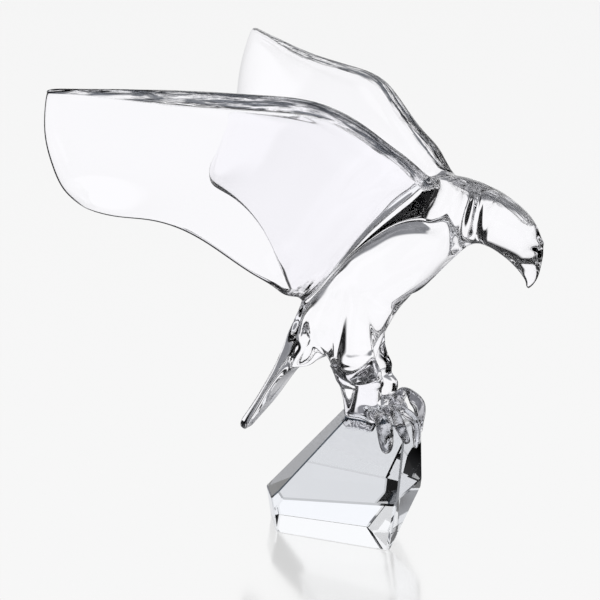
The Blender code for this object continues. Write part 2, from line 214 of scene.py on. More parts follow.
RIGHT_FOOT = Foot(
    forward=0.0,
    shank=((7.7, 9.0, 83.0, 13.3, 6.7, 0.0, 2.4), (8.6, 8.2, 79.0, 12.6, 6.3, 0.0),
           (8.7, 7.5, 76.2, 11.2, 5.2, 0.0), (8.8, 6.8, 72.4, 10.7, 4.6, 0.0),
           (9.2, 5.8, 66.5, 10.3, 3.8, 0.0), (10.4, 4.8, 55.0, 9.7, 3.0, 0.0)),
    toes=(Toe(6, ((19.2, 12.0, 65.0, 2.9), (23.8, 14.6, 61.8, 3.8), (25.6, 15.6, 57.0, 4.1),
                  (27.0, 17.2, 50.4, 3.2), (27.3, 18.0, 47.6, 1.4))),
          Toe(5, ((24.6, 8.4, 66.8, 2.0), (29.8, 11.2, 64.0, 2.5), (33.0, 13.2, 59.6, 2.6),
                  (36.2, 14.6, 54.8, 2.0), (37.4, 15.0, 53.0, 1.1))),
          Toe(4, ((24.8, 3.9, 66.6, 2.0), (31.0, 3.9, 65.4, 2.4), (36.0, 3.8, 61.6, 2.4),
                  (37.2, 3.7, 55.0, 2.1), (37.0, 3.6, 48.8, 1.1)))),
)
LEFT_FOOT = Foot(
    forward=-3.0,
    shank=((6.0, 9.0, 85.2, 11.9, 6.7, 0.15, 3.6), (8.2, 8.2, 82.0, 10.5, 6.0, 0.12),
           (9.4, 7.5, 79.0, 10.6, 5.2, 0.08), (11.6, 6.9, 75.6, 11.0, 4.8, 0.0),
           (11.0, 5.8, 68.0, 10.4, 4.0, 0.0), (10.2, 5.4, 56.0, 9.5, 4.2, 0.0)),
    toes=(Toe(6, ((19.0, 11.6, 67.6, 2.6), (21.6, 13.6, 62.8, 3.2), (21.8, 13.6, 57.0, 3.3),
                  (22.8, 14.4, 50.4, 2.8), (23.0, 14.8, 47.8, 1.3))),
          Toe(5, ((25.2, 8.2, 71.2, 2.2), (29.2, 9.8, 69.2, 2.6), (31.8, 10.8, 64.6, 2.5),
                  (32.6, 11.0, 58.6, 2.2), (33.0, 11.2, 52.6, 1.3))),
          Toe(4, ((26.4, 3.8, 73.4, 2.2), (31.2, 4.1, 71.8, 2.8), (35.2, 4.1, 68.4, 2.8),
                  (36.2, 4.0, 62.8, 2.4), (35.8, 3.8, 56.4, 1.2)))),
)


def smooth_curve(points: np.ndarray, shares: np.ndarray) -> np.ndarray:
    """Reads a natural cubic spline through points, at shares of the chord length.

    Args:
        points: the points that the curve passes through, one row each.
        shares: where to read it, from 0 at the first point to 1 at the last.

    Returns:
        One row for each share.
    """
    points = np.asarray(points, float)
    steps = np.linalg.norm(np.diff(points, axis=0), axis=1)
    knots = np.concatenate(([0.0], np.cumsum(steps))) / steps.sum()
    gaps = np.diff(knots)
    slopes = np.diff(points, axis=0) / gaps[:, None]
    count = len(points)
    system = np.eye(count)
    inner = np.arange(1, count - 1)
    system[inner, inner - 1] = gaps[:-1]
    system[inner, inner] = 2 * (gaps[:-1] + gaps[1:])
    system[inner, inner + 1] = gaps[1:]
    bends = np.zeros_like(points)
    bends[1:-1] = 6 * np.diff(slopes, axis=0)
    bends = np.linalg.solve(system, bends)
    shares = np.clip(np.atleast_1d(np.asarray(shares, float)), 0, 1)
    spans = np.clip(np.searchsorted(knots, shares, "right") - 1, 0, len(gaps) - 1)
    gap = gaps[spans][:, None]
    after = (shares[:, None] - knots[spans][:, None]) / gap
    before = 1 - after
    return (before * points[spans] + after * points[spans + 1]
            + ((before ** 3 - before) * bends[spans]
               + (after ** 3 - after) * bends[spans + 1]) * gap ** 2 / 6)


def smooth_step(values: np.ndarray, low: float, high: float) -> np.ndarray:
    """Rises from 0 at low to 1 at high as 3t^2 - 2t^3."""
    t = np.clip((values - low) / (high - low), 0, 1)
    return t * t * (3 - 2 * t)


@dataclass
class Trace:
    """Where each point of a surface lies along a curve, and how far away from it."""

    along: np.ndarray
    away: np.ndarray
    offset: np.ndarray


def trace_curve(points: np.ndarray, curve: np.ndarray) -> Trace:
    """Finds the nearest place of a polyline for each point, all at once.

    Each point is dropped on to each segment, clamped to the segment's ends, and the
    shortest drop is kept.

    Args:
        points: the surface's points, one row each.
        curve: the polyline's points, one row each.

    Returns:
        Length along the polyline, distance from it, and the vector from it to the point.
    """
    starts, ends = curve[:-1], curve[1:]
    spans = ends - starts
    lengths = np.linalg.norm(spans, axis=1)
    best = np.full(len(points), np.inf)
    along = np.zeros(len(points))
    offset = np.zeros_like(points)
    run = 0.0
    for start, span, length in zip(starts, spans, lengths):
        share = np.clip((points - start) @ span / length ** 2, 0, 1)
        drop = points - (start + share[:, None] * span)
        distance = np.linalg.norm(drop, axis=1)
        nearer = distance < best
        best = np.where(nearer, distance, best)
        along = np.where(nearer, run + share * length, along)
        offset = np.where(nearer[:, None], drop, offset)
        run += length
    return Trace(along, best, offset)


class Cage:
    """Points and faces of a coarse cage, whose smooth skin passes through the points."""

    def __init__(self) -> None:
        """Starts with no points and no faces."""
        self.points: list[np.ndarray] = []
        self.faces: list[tuple[int, ...]] = []
        self.count = 0

    def add(self, points: np.ndarray) -> list[int]:
        """Adds rows of points and returns their indices."""
        points = np.atleast_2d(np.asarray(points, float))
        self.points.append(points)
        self.count += len(points)
        return list(range(self.count - len(points), self.count))

    def at(self, indices: list[int]) -> np.ndarray:
        """Returns the points with these indices."""
        return np.concatenate(self.points)[indices]

    def bridge(self, ring: list[int], other: list[int]) -> None:
        """Joins two closed rings of equal count with quads."""
        for i in range(len(ring)):
            j = (i + 1) % len(ring)
            self.faces.append((ring[i], ring[j], other[j], other[i]))

    def compact(self) -> tuple[np.ndarray, list[tuple[int, ...]]]:
        """Drops points that no face uses and renumbers the faces."""
        used = np.unique(np.concatenate([np.array(face) for face in self.faces]))
        place = np.full(self.count, -1)
        place[used] = np.arange(len(used))
        faces = [tuple(int(place[index]) for index in face) for face in self.faces]
        return np.concatenate(self.points)[used], faces


def read_rows(items: bpy_prop_collection, key: str, width: int, kind: type = float) -> np.ndarray:
    """Reads one property of a mesh's points or edges, one row for each."""
    flat = np.empty(len(items) * width, kind)
    items.foreach_get(key, flat)
    return flat.reshape(-1, width)


def write_points(mesh: Mesh, points: np.ndarray) -> None:
    """Puts points given in millimetres into a mesh."""
    mesh.vertices.foreach_set("co", (points * MM).ravel())
    mesh.update()


def write_attribute(mesh: Mesh, name: str, values: np.ndarray) -> None:
    """Keeps a value or a vector for each point under a name that materials read."""
    kind, key = ("FLOAT", "value") if values.ndim == 1 else ("FLOAT_VECTOR", "vector")
    layer = mesh.attributes.new(name, kind, "POINT")
    layer.data.foreach_set(key, values.astype(np.float32).ravel())


def hold_object(name: str, mesh: Mesh) -> Object:
    """Links a new object for a mesh."""
    item = bpy.data.objects.new(name, mesh)
    bpy.context.scene.collection.objects.link(item)
    return item


@dataclass
class Trunk:
    """Tail, trunk, neck, head and beak, as rings of half sections."""

    heel: int = len(TAIL_SECTIONS)
    chords: int = 6

    @property
    def shoulder(self) -> int:
        """Index of the ring at the front of the wing's root."""
        return self.heel + self.chords

    @staticmethod
    def half_section(section: tuple[float, ...], shape: np.ndarray, side: Side) -> np.ndarray:
        """Runs from the back point to the belly point, out and down by the shape's shares."""
        back = np.array((section[0], 0.0, section[1]))
        belly = np.array((section[2], 0.0, section[3]))
        half = np.array((0.0, side.value * section[4], 0.0))
        shape = np.asarray(shape, float)
        return back + (belly - back) * shape[:, 1:2] + half * shape[:, 0:1]

    def trunk_section(self, section: tuple[float, ...], channel: tuple[float, float],
                      side: Side) -> np.ndarray:
        """Half section of the trunk: hollow back, wing's root, channel, flank and belly."""
        half, root_down, root_half = section[4:]
        low = 1 - root_down
        shape = ((0, 0), (root_half * WING_INNER_SHARE / half, BACK_HOLLOW),
                 (root_half * ROOT_ROW[0] / half, root_down * ROOT_ROW[1]),
                 ((root_half - channel[0]) / half, channel[1]),
                 (1.0, root_down + low * FLANK_SHARE),
                 (LOW_FLANK[0], root_down + low * LOW_FLANK[1]), LEG_ROW, (0, 1))
        return self.half_section(section[:5], np.array(shape), side)

    def add_to(self, cage: Cage) -> Rows:
        """Adds the rings from tail tip to beak, leaving open the wings' and legs' roots.

        Args:
            cage: the cage that grows.

        Returns:
            For each ring, the indices of its rows on each side.
        """
        rings = [{side: self.half_section(section, BLADE_SECTION, side) for side in Side}
                 for section in TAIL_SECTIONS]
        rings += [{side: self.trunk_section(section, channel, side) for side in Side}
                  for section, channel in zip(TRUNK_SECTIONS, CHANNEL)]
        rings += [{side: self.half_section(section, ROUND_SECTION, side) for side in Side}
                  for section in HEAD_SECTIONS]
        for side in Side:
            flip = np.array((1, side.value, 1))
            rings[self.heel][side][2] = np.array(WING_HEEL_POINT) * flip
            rings[self.shoulder][side][2] = np.array(SHOULDER_POINT) * flip
            rings[self.heel + 1][side][-1] = np.array(FORK_POINT)
            for i, share in enumerate(FORK_SHARES, self.heel + 1):
                rings[i][side][-2][2] -= FORK_DROP * share
        rows = []
        for ring in rings:
            left = cage.add(ring[Side.LEFT])
            right = [left[0], *cage.add(ring[Side.RIGHT][1:-1]), left[-1]]
            rows.append({Side.LEFT: left, Side.RIGHT: right})
        for side, i, row in itertools.product(Side, range(len(rows) - 1), range(ROWS - 1)):
            in_wing = self.heel <= i < self.shoulder and row in (1, 2)
            in_leg = self.heel <= i < self.heel + 2 and row in (4, 5)
            if not (in_wing or in_leg):
                here, there = rows[i][side], rows[i + 1][side]
                cage.faces.append((here[row], there[row], there[row + 1], here[row + 1]))
        for end, point in ((rows[0], TAIL_TIP), (rows[-1], BEAK_TIP)):
            tip = cage.add(np.array(point))[0]
            ring = end[Side.LEFT] + end[Side.RIGHT][-2:0:-1]
            for i in range(len(ring)):
                cage.faces.append((ring[i], ring[(i + 1) % len(ring)], tip))
        return rows


@dataclass
class Wing:
    """One wing: a cupped sheet between four edges, with a thick rounded leading edge."""

    side: Side
    ribs: tuple[float, ...] = (0.035, 0.12, 0.22, 0.34, 0.46, 0.58, 0.70, 0.82, 0.93)
    chords: int = 6
    camber: float = 5.0
    roll_radius: tuple[float, ...] = (6.0, 5.6, 5.0, 3.9, 2.9, 2.0)
    panel_half: tuple[float, ...] = (4.2, 2.4, 2.0, 1.9, 1.8, 1.6)
    rim: float = 1.0
    edge_half: float = 0.45
    taper: float = 3.0
    panel_from_rolls: float = 2.6
    panel_to_rims: float = 4.0
    tip_share: float = 0.8

    @staticmethod
    def sheet(span: np.ndarray, chord: np.ndarray) -> np.ndarray:
        """Middle of the wing, as the patch that blends its four edges.

        The two lines between opposite edges are added, and the plane patch between the
        four corners, which both of them hold, is taken off once.
        """
        span, chord = np.asarray(span, float), np.asarray(chord, float)
        s, t = span[:, None], chord[:, None]
        first, last = np.array(LEADING_EDGE[0]), np.array(TRAILING_EDGE[0])
        far_first, far_last = np.array(LEADING_EDGE[-1]), np.array(TRAILING_EDGE[-1])
        return ((1 - t) * smooth_curve(LEADING_EDGE, span)
                + t * smooth_curve(TRAILING_EDGE, span)
                + (1 - s) * smooth_curve(ROOT_EDGE, chord) + s * smooth_curve(TIP_EDGE, chord)
                - (1 - s) * ((1 - t) * first + t * last)
                - s * ((1 - t) * far_first + t * far_last))

    def skin(self, span: np.ndarray, chord: np.ndarray, out: np.ndarray) -> np.ndarray:
        """Points of the wing's skin, each a distance out from its cupped middle.

        The cup is camber x 16 s (1 - s) c (1 - c), which is the camber at mid wing.

        Args:
            span: shares from root to tip.
            chord: shares from leading to trailing edge.
            out: distance outwards, negative for the inner face.

        Returns:
            One row for each point, on this wing's own side.
        """
        span, chord, out = np.broadcast_arrays(*map(np.asarray, (span, chord, out)))
        span, chord = span.astype(float).ravel(), chord.astype(float).ravel()
        step = 0.002
        middle = self.sheet(span, chord)
        along = self.sheet(np.minimum(span + step, 1), chord) - self.sheet(
            np.maximum(span - step, 0), chord)
        down = self.sheet(span, np.minimum(chord + step, 1)) - self.sheet(
            span, np.maximum(chord - step, 0))
        inward = np.cross(along, down)
        inward /= np.linalg.norm(inward, axis=1, keepdims=True)
        cup = self.camber * 16 * span * (1 - span) * chord * (1 - chord)
        points = middle + inward * (cup - out.ravel())[:, None]
        return points * np.array((1, self.side.value, 1))

    @staticmethod
    def read(sizes: tuple[float, ...], span: float) -> float:
        """Reads an evenly spaced list of sizes at a share of the span."""
        return float(np.interp(span, np.linspace(0, 1, len(sizes)), sizes))

    def rib_chords(self, span: float) -> np.ndarray:
        """Shares of the chord for one rib: close at both rims, even over the panel."""
        ends = self.sheet(np.array((span, span)), np.array((0, 1)))
        length = np.linalg.norm(ends[1] - ends[0])
        roll = self.read(self.roll_radius, span)
        panel = np.linspace(self.panel_from_rolls * roll / length,
                            1 - self.panel_to_rims * self.rim / length, self.chords - 1)
        return np.concatenate(([roll / length], panel, [1 - self.rim / length]))

    def add_to(self, cage: Cage, rows: Rows, trunk: Trunk) -> None:
        """Grows the wing from the root left open in the trunk, rib by rib to its tip."""
        side, heel, shoulder = self.side, trunk.heel, trunk.shoulder
        stations = range(shoulder, heel - 1, -1)
        ring = ([rows[i][side][3] for i in stations] + [rows[heel][side][2]]
                + [rows[i][side][1] for i in reversed(stations)] + [rows[shoulder][side][2]])
        span_length = math.dist(LEADING_EDGE[-1], LEADING_EDGE[0])
        for span in (*self.ribs, 1 - self.rim / span_length):
            chords = self.rib_chords(span)
            roll, panel = self.read(self.roll_radius, span), self.read(self.panel_half, span)
            spread = np.linspace(0, 1, self.chords + 1)
            halves = panel + (roll - panel) * (1 - spread) ** self.taper
            halves[-1] = self.edge_half
            if span > self.ribs[-1]:
                halves = np.minimum(halves, self.rim) * self.tip_share
            rib = cage.add(np.concatenate((
                self.skin(span, chords, halves), self.skin(span, 1, 0),
                self.skin(span, chords[::-1], -halves[::-1]), self.skin(span, 0, 0))))
            cage.bridge(ring, rib)
            ring = rib
        edge = cage.add(self.skin(1, chords, 0))
        outer, inner = ring[:self.chords + 1], ring[-2:self.chords + 1:-1]
        for k in range(self.chords):
            cage.faces.append((outer[k], outer[k + 1], edge[k + 1], edge[k]))
            cage.faces.append((edge[k], edge[k + 1], inner[k + 1], inner[k]))
        cage.faces.append((ring[-1], outer[0], edge[0], inner[0]))
        cage.faces.append((ring[self.chords + 1], inner[-1], edge[-1], outer[-1]))


@dataclass
class Leg:
    """One leg: rings from the hip to the sole, and the toes that grip the block."""

    side: Side
    foot: Foot

    def ring(self, sizes: tuple[float, ...], forward: float = 0.0) -> np.ndarray:
        """Eight points of an oval ring that rises to its front; its inner side may drop."""
        x, y, z, half_x, half_y, steepness, drop = (*sizes, 0.0)[:7]
        ahead = half_x * np.cos(RING_TURNS)
        out = half_y * np.maximum(np.sin(RING_TURNS), -math.sqrt(0.5))
        rise = steepness * ahead - drop * (out < 0)
        return np.column_stack((x + forward + ahead, self.side.value * (y + out), z + rise))

    def add_toe(self, cage: Cage, section: list[int], toe: Toe) -> None:
        """Grows a toe from one face of the foot, keeping its sections from twisting.

        Each section is a square across the line between the centres before and after it.
        Its sides follow those of the section before, laid flat across the new line.
        """
        corners = cage.at(section)
        across, before = corners[0] - corners[1], corners.mean(0)
        path = np.array(toe.path)
        centres = path[:, :3] * (1, self.side.value, 1)
        for i, here in enumerate(centres):
            along = centres[min(i + 1, len(centres) - 1)] - before
            across = across - along * (across @ along) / (along @ along)
            across /= np.linalg.norm(across)
            up = np.cross(across, along)
            up *= self.side.value / np.linalg.norm(up)
            half = path[i, 3] * math.sqrt(0.5)
            signs = np.array(((1, 1), (-1, 1), (-1, -1), (1, -1)))
            ring = cage.add(here + signs @ np.array((across, up)) * half)
            cage.bridge(section, ring)
            section, before = ring, here
        cage.faces.append(tuple(section))

    def add_to(self, cage: Cage, rows: Rows, trunk: Trunk) -> None:
        """Grows the leg from the hip's opening, down to the sole and out to the toes."""
        side, heel = self.side, trunk.heel
        hip = [rows[heel + ahead][side][row] for ahead, row in HIP_RING]
        rings = [hip] + [cage.add(self.ring(sizes, self.foot.forward)) for sizes in THIGH_RINGS]
        rings += [cage.add(self.ring(sizes)) for sizes in self.foot.shank]
        sole, ankle = rings[-1], rings[-2]
        toe_faces = {toe.root for toe in self.foot.toes}
        for upper, lower in zip(rings, rings[1:]):
            for i in range(8):
                if lower is not sole or i not in toe_faces:
                    j = (i + 1) % 8
                    cage.faces.append((upper[i], upper[j], lower[j], lower[i]))
        x, y, z = self.foot.shank[-1][:3]
        middle = cage.add(np.array((x, side.value * y, z)))[0]
        for i in (1, 3, 5, 7):
            cage.faces.append((middle, sole[i], sole[(i + 1) % 8], sole[(i + 2) % 8]))
        for toe in self.foot.toes:
            first, second = toe.root, (toe.root + 1) % 8
            self.add_toe(cage, [ankle[first], ankle[second], sole[second], sole[first]], toe)


@dataclass
class Block:
    """The cut block: the hull that its flat facets leave standing on the ground."""

    height: float = 60.0
    edge_flat: float = 1.2
    sole_flat: float = 0.3
    # painted shade on the top facet, and how much painted shade a flat takes from its two facets
    top_shade: float = 0.3
    flat_painted_shade: float = 1.5

    def planes(self, grow: float = 0.0) -> tuple[np.ndarray, np.ndarray]:
        """Returns each facet's outward normal and its distance from the ground's origin."""
        table = np.array(list(FACETS.values()))
        turn, rise = np.radians(table[:, 0]), np.radians(table[:, 1])
        normals = np.column_stack((np.cos(turn) * np.cos(rise), np.sin(turn) * np.cos(rise),
                                   np.sin(rise)))
        reach = table[:, 2] + grow + normals[:, 2] * self.height / 2
        normals = np.vstack((normals, (0, 0, 1), (0, 0, -1)))
        return normals, np.concatenate((reach, (self.height + grow, grow)))

    def press(self, points: np.ndarray) -> np.ndarray:
        """Moves points that lie inside the block out to its nearest facet, and a gap more."""
        normals, reach = self.planes(CONTACT_GAP)
        normals, reach = normals[:-1], reach[:-1]
        depth = points @ normals.T - reach
        nearest = depth.argmax(1)
        shift = -np.minimum(depth[np.arange(len(points)), nearest], 0)
        return points + normals[nearest] * shift[:, None]

    @staticmethod
    def meetings(normals: np.ndarray, reach: np.ndarray) -> np.ndarray:
        """Finds a hull's corners: where three facets meet and no facet cuts the place off."""
        triples = np.array(list(itertools.combinations(range(len(normals)), 3)))
        triples = triples[np.abs(np.linalg.det(normals[triples])) > ROUNDING]
        corners = np.linalg.solve(normals[triples], reach[triples][:, :, None])[:, :, 0]
        corners = corners[(corners @ normals.T <= reach + ROUNDING).all(1)]
        _, first = np.unique(corners.round(5), axis=0, return_index=True)
        return corners[first]

    def grind_edges(self, normals: np.ndarray, reach: np.ndarray,
                    shades: np.ndarray) -> tuple[np.ndarray, np.ndarray, np.ndarray]:
        """Adds a narrow flat along each longer edge, with more painted shade than its two facets
        together.

        Its normal is the mean of theirs, and it lies under the edge by half its width
        times the tangent of half the turn between them.

        Args:
            normals: the facets' outward normals, one row each.
            reach: the facets' distances.
            shades: how much painted shade greys each facet.

        Returns:
            The same three, with the flats added.
        """
        corners = self.meetings(normals, reach)
        on_facet = np.abs(corners @ normals.T - reach) < ON_FACET
        underside = len(normals) - 1
        flats, distances, flat_shades = [], [], []
        for one, other in itertools.combinations(range(len(normals)), 2):
            shared = corners[on_facet[:, one] & on_facet[:, other]]
            if len(shared) < 2 or np.linalg.norm(np.ptp(shared, axis=0)) < self.edge_flat:
                continue
            middle = normals[one] + normals[other]
            middle /= np.linalg.norm(middle)
            half_turn = math.acos(min(float(middle @ normals[one]), 1.0))
            width = self.sole_flat if other == underside else self.edge_flat
            flats.append(middle)
            distances.append(shared.mean(0) @ middle - width / 2 * math.tan(half_turn))
            flat_shades.append(min(self.flat_painted_shade * (shades[one] + shades[other]), 1.0))
        return (np.vstack((normals, flats)), np.concatenate((reach, distances)),
                np.concatenate((shades, flat_shades)))

    def build(self) -> Object:
        """Builds the hull, each facet's corners put in order by their angle round its middle."""
        shades = np.array([facet[3] for facet in FACETS.values()] + [self.top_shade, 0.0])
        normals, reach, shades = self.grind_edges(*self.planes(), shades)
        corners = self.meetings(normals, reach)
        faces, kept = [], []
        for normal, distance, shade in zip(normals, reach, shades):
            on_face = np.flatnonzero(np.abs(corners @ normal - distance) < ON_FACET)
            if len(on_face) < 3:
                continue
            spread = corners[on_face] - corners[on_face].mean(0)
            side = spread[0] / np.linalg.norm(spread[0])
            angles = np.arctan2(spread @ np.cross(normal, side), spread @ side)
            faces.append([int(index) for index in on_face[np.argsort(angles)]])
            kept.append(shade)
        mesh = bpy.data.meshes.new("cut_block")
        mesh.from_pydata((corners * MM).tolist(), [], faces)
        # each face keeps its painted shade, which greys the glass's colour
        mesh.attributes.new("shade", "FLOAT", "FACE").data.foreach_set("value", kept)
        turn_outwards(mesh)
        return hold_object("cut_block", mesh)


@dataclass(frozen=True)
class Carving:
    """A line cut into the glass, or raised from it where the depth is negative."""

    line: Line
    width: float
    depth: float
    steps_per_point: int = 8

    def cut(self, points: np.ndarray, normals: np.ndarray) -> np.ndarray:
        """Sinks points by depth times a bell of their distance from the line, on both sides.

        The bell is exp(-(distance / width)^2), so it fades out smoothly.
        """
        steps = self.steps_per_point * len(self.line)
        curve = smooth_curve(self.line, np.linspace(0, 1, steps))
        for side in Side:
            trace = trace_curve(points, curve * (1, side.value, 1))
            bell = np.exp(-(trace.away / self.width) ** 2)
            points = points - normals * (self.depth * bell)[:, None]
        return points


@dataclass(frozen=True)
class StreakBand:
    """A band where the drawn-out glass keeps fine streaks that run along a line: a bump, with
    dark lines of painted shade.

    Over the last part of the line the band grows narrower by the share in taper.
    """

    line: Line
    reach: float
    strength: float
    sides: tuple[Side, ...] = (Side.LEFT, Side.RIGHT)
    taper: float = 0.0
    taper_from: float = 0.62
    fade_from: float = 0.8

    def share(self, trace: Trace, length: float) -> np.ndarray:
        """Returns how strong the streaks are: full inside the reach, then fading out."""
        end = smooth_step(trace.along / length, self.taper_from, 1.0)
        away = trace.away / (self.reach * (1 - self.taper * end))
        return self.strength * (1 - smooth_step(away, self.fade_from, 1.0))


@dataclass(frozen=True)
class Easing:
    """A round place on both sides where the skin is eased until its folds run out."""

    middle: Point
    reach: float
    rounds: int
    full_share: float = 0.55
    pull: float = 0.5

    def ease(self, points: np.ndarray, edges: np.ndarray) -> np.ndarray:
        """Moves each point towards the mean of its neighbours, round after round.

        The move is pull x (1 - smooth_step) of the distance from the middle.

        Args:
            points: the skin's points, one row each.
            edges: the two point indices of each edge.

        Returns:
            The eased points.
        """
        away = np.linalg.norm(np.abs(points) * (0, 1, 0) + points * (1, 0, 1) - self.middle,
                              axis=1)
        fade = smooth_step(away, self.reach * self.full_share, self.reach)
        share = self.pull * (1 - fade)[:, None]
        count = np.bincount(edges.ravel(), minlength=len(points))[:, None]
        for _ in range(self.rounds):
            total = np.zeros_like(points)
            for axis in range(3):
                total[:, axis] = (
                    np.bincount(edges[:, 0], points[edges[:, 1], axis], len(points))
                    + np.bincount(edges[:, 1], points[edges[:, 0], axis], len(points)))
            points = points + share * (total / count - points)
        return points


def shifted(line: Line, shift: Point) -> Line:
    """Returns a line moved by a shift."""
    return tuple(tuple(map(sum, zip(point, shift))) for point in line)


EASINGS = {
    "hip": Easing((7.0, 8.0, 101.0), 20.0, 160),
    "hip_front": Easing((19.0, 5.0, 104.0), 18.0, 200),
    "neck_root": Easing((54.0, 13.0, 169.0), 13.0, 60),
}

TAIL_RIDGE = ((-56.5, 5.2, 50.0), (-48.0, 9.6, 61.1), (-39.0, 11.9, 73.1), (-30.4, 12.7, 86.2),
              (-23.9, 12.6, 97.1), (-18.6, 13.2, 106.0))
CROWN = ((58.8, 3.7, 184.5), (66.5, 3.6, 183.2), (73.9, 2.7, 180.7), (81.2, 2.0, 177.2),
         (87.1, 1.5, 173.4), (91.6, 1.3, 169.8))

CARVINGS = {
    "thigh_groove": Carving(((1.8, 18.4, 120.5), (-0.6, 17.4, 110.5), (-2.2, 16.3, 102.0),
                             (-4.4, 15.2, 91.0)), 5.6, 3.4),
    "tail_ridge": Carving(TAIL_RIDGE, 2.8, -0.9),
    "tail_groove": Carving(shifted(TAIL_RIDGE, (3.4, 0.0, -3.0)), 2.6, 1.0),
    "cuff": Carving(((-4.6, 12.0, 83.5), (2.0, 15.4, 80.0), (9.0, 15.0, 78.0),
                     (16.5, 13.4, 80.0), (20.4, 9.5, 82.4)), 1.7, 1.1),
    "nape": Carving(((64.6, 6.0, 182.0), (65.1, 8.9, 179.7), (63.5, 12.5, 170.9),
                     (61.4, 12.1, 162.3), (57.7, 6.4, 150.0)), 3.0, 2.3),
    "throat": Carving(((70.4, 6.0, 181.0), (70.9, 7.9, 179.5), (71.0, 13.2, 170.2),
                       (69.1, 10.4, 159.2)), 2.4, 1.8),
    "brow": Carving(((90.5, 8.8, 160.5), (94.5, 7.4, 158.2), (98.6, 4.0, 155.6)), 1.5, -0.7),
    "eye": Carving(((95.4, 7.2, 153.6), (97.0, 6.2, 153.2)), 1.4, 0.7),
    "gape": Carving(((88.5, 8.2, 147.5), (92.8, 6.6, 146.8), (97.0, 4.2, 145.6)), 1.3, 0.3),
}

ROOT_ROLL = shifted(ROOT_EDGE, (-1.8, 0.8, 2.0))
# streak bands: a bump, with dark lines of painted shade along each line
STREAK_BANDS = (
    StreakBand(LEADING_EDGE, 8.0, 1.4, (Side.RIGHT,), 0.7),
    StreakBand(LEADING_EDGE, 5.5, 1.7, (Side.LEFT,), 0.7),
    StreakBand(ROOT_ROLL, 3.4, 0.9),
    StreakBand(CROWN, 6.0, 0.8),
)

# A toe's streaks, a bump with dark lines of painted shade, and how far past the middle plane a
# side's bands may reach
TOE_REACH, TOE_STRENGTH = 4.5, 0.6
PAST_MIDDLE = 2

# The streaks' noise: its stretch along and across the flow, and the values that get painted shade
STREAK_STRETCH = (0.055, 0.62, 0.62)
STREAK_NOISE = {"Scale": 1.0, "Detail": 2.5, "Roughness": 0.55, "Distortion": 0.35}
STREAK_LINES = (0.40, 0.62)
WHITE = (1, 1, 1)


class Eagle:
    """The casting: one skin over trunk, wings and legs."""

    levels = 3
    fit_rounds = 6

    def __init__(self, block: Block) -> None:
        """Plans the parts of the bird that stands on a block."""
        self.block = block
        self.trunk = Trunk()
        self.wings = [Wing(side) for side in Side]
        self.legs = [Leg(Side.LEFT, LEFT_FOOT), Leg(Side.RIGHT, RIGHT_FOOT)]

    def cage(self) -> Cage:
        """Puts the cages of trunk, wings and legs together."""
        cage = Cage()
        rows = self.trunk.add_to(cage)
        for part in (*self.wings, *self.legs):
            part.add_to(cage, rows, self.trunk)
        return cage

    def smooth_mesh(self) -> Mesh:
        """Smooths the cage, moving it until its skin runs through the wanted points."""
        wanted, faces = self.cage().compact()
        mesh = bpy.data.meshes.new("eagle_cage")
        mesh.from_pydata((wanted * MM).tolist(), [], faces)
        turn_outwards(mesh)
        draft = hold_object("eagle_cage", mesh)
        skin = draft.modifiers.new("skin", "SUBSURF")
        skin.levels = skin.render_levels = 1
        held = wanted.copy()
        for _ in range(self.fit_rounds):
            depsgraph = bpy.context.evaluated_depsgraph_get()
            skinned = draft.evaluated_get(depsgraph).data
            held += wanted - read_rows(skinned.vertices, "co", 3)[:len(wanted)] / MM
            write_points(mesh, held)
        skin.levels = skin.render_levels = self.levels
        depsgraph = bpy.context.evaluated_depsgraph_get()
        fine = bpy.data.meshes.new_from_object(draft.evaluated_get(depsgraph))
        bpy.data.objects.remove(draft)
        return fine

    def build(self) -> Object:
        """Smooths, carves and presses the casting, and keeps its streaks' directions."""
        mesh = self.smooth_mesh()
        points = read_rows(mesh.vertices, "co", 3) / MM
        edges = read_rows(mesh.edges, "vertices", 2, np.int32)
        for easing in EASINGS.values():
            points = easing.ease(points, edges)
        write_points(mesh, points)
        normals = read_rows(mesh.vertices, "normal", 3)
        for carving in CARVINGS.values():
            points = carving.cut(points, normals)
        points = self.block.press(points)
        low, high = (np.array(corner) / MM for corner in CAD_BOX)
        points = np.clip(points, low, high)
        write_points(mesh, points)
        mesh.name = "crystal_eagle"
        mesh.shade_smooth()
        eagle = hold_object("crystal_eagle", mesh)
        self.keep_streaks(mesh, points)
        return eagle

    def keep_streaks(self, mesh: Mesh, points: np.ndarray) -> None:
        """Stores how strong the streaks and their painted shade are at each point, and which way
        they run.
        """
        strength = np.zeros(len(points))
        flow = np.zeros((len(points), 3))
        toes = [StreakBand(tuple(row[:3] for row in toe.path), TOE_REACH, TOE_STRENGTH,
                           (leg.side,)) for leg in self.legs for toe in leg.foot.toes]
        bands = [*STREAK_BANDS, *toes]
        for band, side in ((band, side) for band in bands for side in band.sides):
            curve = smooth_curve(band.line, np.linspace(0, 1, CURVE_STEPS)) * (1, side.value, 1)
            trace = trace_curve(points, curve)
            length = np.linalg.norm(np.diff(curve, axis=0), axis=1).sum()
            share = band.share(trace, length) * (points[:, 1] * side.value > -PAST_MIDDLE)
            wins = share > strength
            strength = np.where(wins, share, strength)
            turned = np.column_stack((trace.along, trace.away, trace.offset[:, 1]))
            flow = np.where(wins[:, None], turned, flow)
        write_attribute(mesh, "streak_and_shade", strength)
        write_attribute(mesh, "flow", flow)


def turn_outwards(mesh: Mesh) -> None:
    """Turns every face of a closed mesh outwards."""
    form = bmesh.new()
    form.from_mesh(mesh)
    bmesh.ops.recalc_face_normals(form, faces=form.faces)
    form.to_mesh(mesh)
    form.free()


